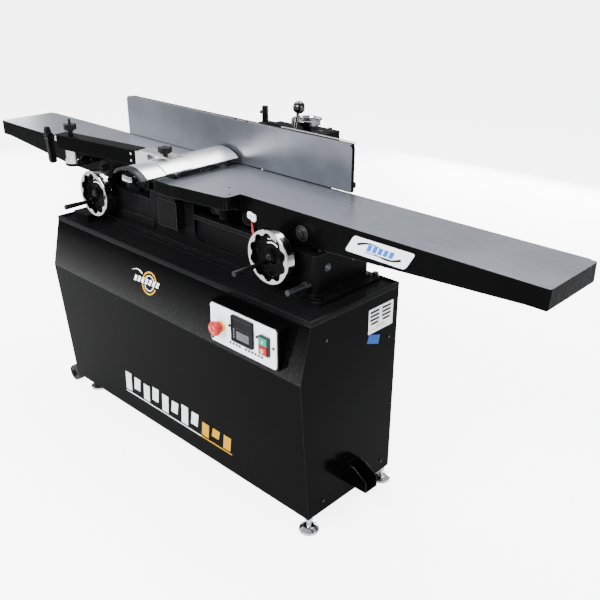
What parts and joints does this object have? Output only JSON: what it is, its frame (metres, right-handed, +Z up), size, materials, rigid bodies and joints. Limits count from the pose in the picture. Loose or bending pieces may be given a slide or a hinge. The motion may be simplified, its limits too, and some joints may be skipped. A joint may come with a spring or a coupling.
{
  "type": "long-bed jointer",
  "caption": "Long-bed floor-standing surface planer: twin height-adjustable tables round a helical cutterhead, bridge guard, tilting sliding fence, closed cabinet base.",
  "frame": {"origin": "on the floor, under the centre of the overall bounding box; the centreline of the tables is at y = -13 mm", "axes": "+X towards the infeed end, +Y from the operator towards the fence, +Z up"},
  "size_m": [2.134, 0.59, 1.0226],
  "materials": {
    "black_enamel": "gloss",
    "black_casting": "gloss paint over cast iron",
    "galvanised_sheet": "satin",
    "black_plastic": "satin",
    "zinc_steel": "bright plated",
    "dark_steel": "blackened",
    "bright_steel": "polished",
    "wheel_rubber": "matte",
    "white_panel": "satin",
    "dark_plastic": "satin",
    "grey_plastic": "satin",
    "yellow_plastic": "satin",
    "red_plastic": "gloss",
    "green_plastic": "gloss",
    "carbide": "ground",
    "ground_steel": "ground",
    "ground_iron": "ground top, painted sides",
    "grey_iron": "as cast",
    "motor_paint": "satin",
    "belt_rubber": "matte",
    "chrome_rim": "polished",
    "brushed_aluminium": "brushed"
  },
  "bodies": {
    "root": {"cabinet_shell": "black_enamel", "cabinet_top": "black_enamel", "rear_access_panel": "black_enamel", "chip_chute": "galvanised_sheet", "dust_port": "black_plastic", "levelling_feet": "zinc_steel", "tow_socket": "black_enamel", "transport_wheel_brackets": "black_enamel", "control_box": "black_enamel", "control_plate": "white_panel", "control_screws": "dark_steel", "display_unit": "dark_plastic", "estop_collar": "yellow_plastic", "switch_frame": "grey_plastic", "bed_casting": "black_casting", "bed_bolts": "dark_steel", "bearing_blocks": "black_casting", "motor": "motor_paint", "motor_shelf": "black_enamel", "drive_belts": "belt_rubber", "belt_guard": "black_enamel", "adjuster_gear_cases": "grey_iron", "depth_pointer": "red_plastic", "fence_bridge": "black_casting"},
    "transport_wheel_front": {"transport_wheel_front": "wheel_rubber"},
    "transport_wheel_rear": {"transport_wheel_rear": "wheel_rubber"},
    "estop_button": {"estop_button": "red_plastic"},
    "start_button": {"start_button": "green_plastic"},
    "stop_button": {"stop_button": "red_plastic"},
    "cutterhead": {"cutterhead": "ground_steel", "cutter_inserts": "carbide", "head_pulley": "grey_iron"},
    "motor_rotor": {"motor_pulley": "grey_iron"},
    "infeed_handwheel": {"infeed_handwheel": "chrome_rim"},
    "infeed_grip": {"infeed_grip": "black_plastic"},
    "outfeed_handwheel": {"outfeed_handwheel": "chrome_rim"},
    "outfeed_grip": {"outfeed_grip": "black_plastic"},
    "infeed_crank_outer": {"infeed_crank_outer": "dark_steel"},
    "infeed_crank_inner": {"infeed_crank_inner": "dark_steel"},
    "outfeed_crank_outer": {"outfeed_crank_outer": "dark_steel"},
    "outfeed_crank_inner": {"outfeed_crank_inner": "dark_steel"},
    "infeed_table": {"infeed_table": "ground_iron", "depth_scale": "white_panel"},
    "outfeed_table": {"outfeed_table": "ground_iron", "guard_bracket": "black_casting"},
    "infeed_lock_rod": {"infeed_lock_rod": "zinc_steel"},
    "guard_arm": {"guard_arm": "black_enamel", "guard_post_sleeve": "bright_steel", "guard_saddle": "brushed_aluminium"},
    "height_knob": {"height_knob": "black_plastic"},
    "clamp_lever": {"clamp_lever": "black_plastic"},
    "saddle_knob": {"saddle_knob": "black_plastic"},
    "bridge_guard": {"bridge_guard": "brushed_aluminium", "guard_end_caps": "black_plastic"},
    "fence_carriage": {"fence_carriage": "black_casting", "tilt_stop_post": "dark_steel"},
    "fence": {"fence_plate": "ground_iron", "fence_bracket": "black_casting"},
    "fence_handwheel": {"fence_handwheel": "chrome_rim"},
    "tilt_lever": {"tilt_lever": "bright_steel"}
  },
  "joints": [
    {"name": "cutterhead_spin", "type": "hinge", "parent": "root", "child": "cutterhead", "pos_m": [-0.072, -0.013, 0.802], "axis": [0, 1, 0], "continuous": true},
    {"name": "motor_spin", "type": "hinge", "parent": "root", "child": "motor_rotor", "pos_m": [-0.072, 0.107, 0.33], "axis": [0, 1, 0], "continuous": true},
    {"name": "infeed_wheel_turn", "type": "hinge", "parent": "root", "child": "infeed_handwheel", "pos_m": [0.364, -0.163, 0.727], "axis": [0, 1, 0], "range_deg": [0, 1800]},
    {"name": "infeed_grip_spin", "type": "hinge", "parent": "infeed_handwheel", "child": "infeed_grip", "pos_m": [0.33427, -0.203, 0.70024], "axis": [0, 1, 0], "continuous": true},
    {"name": "infeed_outer_crank_turn", "type": "hinge", "parent": "root", "child": "infeed_crank_outer", "pos_m": [0.41111, -0.013, 0.78121], "axis": [0, 1, 0], "range_deg": [0, 90]},
    {"name": "infeed_inner_crank_turn", "type": "hinge", "parent": "root", "child": "infeed_crank_inner", "pos_m": [0.10311, -0.013, 0.78121], "axis": [0, 1, 0], "range_deg": [0, 90]},
    {"name": "infeed_table_link", "type": "hinge", "parent": "infeed_crank_outer", "child": "infeed_table", "pos_m": [0.418, -0.013, 0.787], "axis": [0, 1, 0], "range_deg": [-90, 0]},
    {"name": "infeed_lock_turn", "type": "hinge", "parent": "root", "child": "infeed_lock_rod", "pos_m": [0.449, -0.153, 0.663], "axis": [0, 1, 0], "range_deg": [-45, 45]},
    {"name": "outfeed_wheel_turn", "type": "hinge", "parent": "root", "child": "outfeed_handwheel", "pos_m": [-0.401, -0.163, 0.724], "axis": [0, 1, 0], "range_deg": [0, 400]},
    {"name": "outfeed_grip_spin", "type": "hinge", "parent": "outfeed_handwheel", "child": "outfeed_grip", "pos_m": [-0.42777, -0.203, 0.69427], "axis": [0, 1, 0], "continuous": true},
    {"name": "outfeed_outer_crank_turn", "type": "hinge", "parent": "root", "child": "outfeed_crank_outer", "pos_m": [-0.43886, -0.013, 0.78644], "axis": [0, 1, 0], "range_deg": [0, 20]},
    {"name": "outfeed_inner_crank_turn", "type": "hinge", "parent": "root", "child": "outfeed_crank_inner", "pos_m": [-0.24886, -0.013, 0.78644], "axis": [0, 1, 0], "range_deg": [0, 20]},
    {"name": "outfeed_table_link", "type": "hinge", "parent": "outfeed_crank_outer", "child": "outfeed_table", "pos_m": [-0.43, -0.013, 0.788], "axis": [0, 1, 0], "range_deg": [-20, 0]},
    {"name": "guard_height", "type": "slide", "parent": "outfeed_table", "child": "guard_arm", "axis": [0, 0, 1], "range_m": [0, 0.06]},
    {"name": "height_knob_turn", "type": "hinge", "parent": "guard_arm", "child": "height_knob", "pos_m": [-0.516, -0.164, 0.905], "axis": [0, 0, 1], "range_deg": [0, 3600]},
    {"name": "clamp_lever_swing", "type": "hinge", "parent": "guard_arm", "child": "clamp_lever", "pos_m": [-0.61196, -0.18476, 0.868], "axis": [0.9885, 0.1513, 0], "range_deg": [-90, 0]},
    {"name": "saddle_knob_turn", "type": "hinge", "parent": "guard_arm", "child": "saddle_knob", "pos_m": [-0.085, -0.131, 0.905], "axis": [0, 0, 1], "continuous": true},
    {"name": "guard_slide", "type": "slide", "parent": "guard_arm", "child": "bridge_guard", "axis": [0, -1, 0], "range_m": [0, 0.15]},
    {"name": "fence_slide", "type": "slide", "parent": "root", "child": "fence_carriage", "axis": [0, -1, 0], "range_m": [0, 0.15]},
    {"name": "fence_tilt", "type": "hinge", "parent": "fence_carriage", "child": "fence", "pos_m": [0.125, 0.109, 0.852], "axis": [-1, 0, 0], "range_deg": [0, 45]},
    {"name": "fence_wheel_turn", "type": "hinge", "parent": "fence_carriage", "child": "fence_handwheel", "pos_m": [0.093, 0.249, 0.955], "axis": [0, 0, 1], "range_deg": [0, 360]},
    {"name": "tilt_lever_turn", "type": "hinge", "parent": "fence_carriage", "child": "tilt_lever", "pos_m": [0.09, 0.197, 0.915], "axis": [0, 1, 0], "range_deg": [-30, 0]},
    {"name": "transport_wheel_front_roll", "type": "hinge", "parent": "root", "child": "transport_wheel_front", "pos_m": [-0.592, -0.203, 0.033], "axis": [0, 1, 0], "continuous": true},
    {"name": "transport_wheel_rear_roll", "type": "hinge", "parent": "root", "child": "transport_wheel_rear", "pos_m": [-0.592, 0.105, 0.033], "axis": [0, 1, 0], "continuous": true},
    {"name": "estop_press", "type": "slide", "parent": "root", "child": "estop_button", "axis": [0, 1, 0], "range_m": [0, 0.005]},
    {"name": "start_press", "type": "slide", "parent": "root", "child": "start_button", "axis": [0, 1, 0], "range_m": [0, 0.003]},
    {"name": "stop_press", "type": "slide", "parent": "root", "child": "stop_button", "axis": [0, 1, 0], "range_m": [0, 0.003]}
  ],
  "couplings": [
    {"joint": "motor_spin", "follows": "cutterhead_spin", "ratio": 0.5},
    {"joint": "infeed_outer_crank_turn", "follows": "infeed_wheel_turn", "ratio": 0.05},
    {"joint": "infeed_inner_crank_turn", "follows": "infeed_wheel_turn", "ratio": 0.05},
    {"joint": "infeed_table_link", "follows": "infeed_wheel_turn", "ratio": -0.05},
    {"joint": "outfeed_outer_crank_turn", "follows": "outfeed_wheel_turn", "ratio": 0.05},
    {"joint": "outfeed_inner_crank_turn", "follows": "outfeed_wheel_turn", "ratio": 0.05},
    {"joint": "outfeed_table_link", "follows": "outfeed_wheel_turn", "ratio": -0.05},
    {"joint": "height_knob_turn", "follows": "guard_height", "rad_per_m": 1047.2},
    {"joint": "guard_slide", "follows": "fence_slide", "ratio": 1},
    {"joint": "fence_wheel_turn", "follows": "fence_slide", "rad_per_m": 39.27}
  ]
}
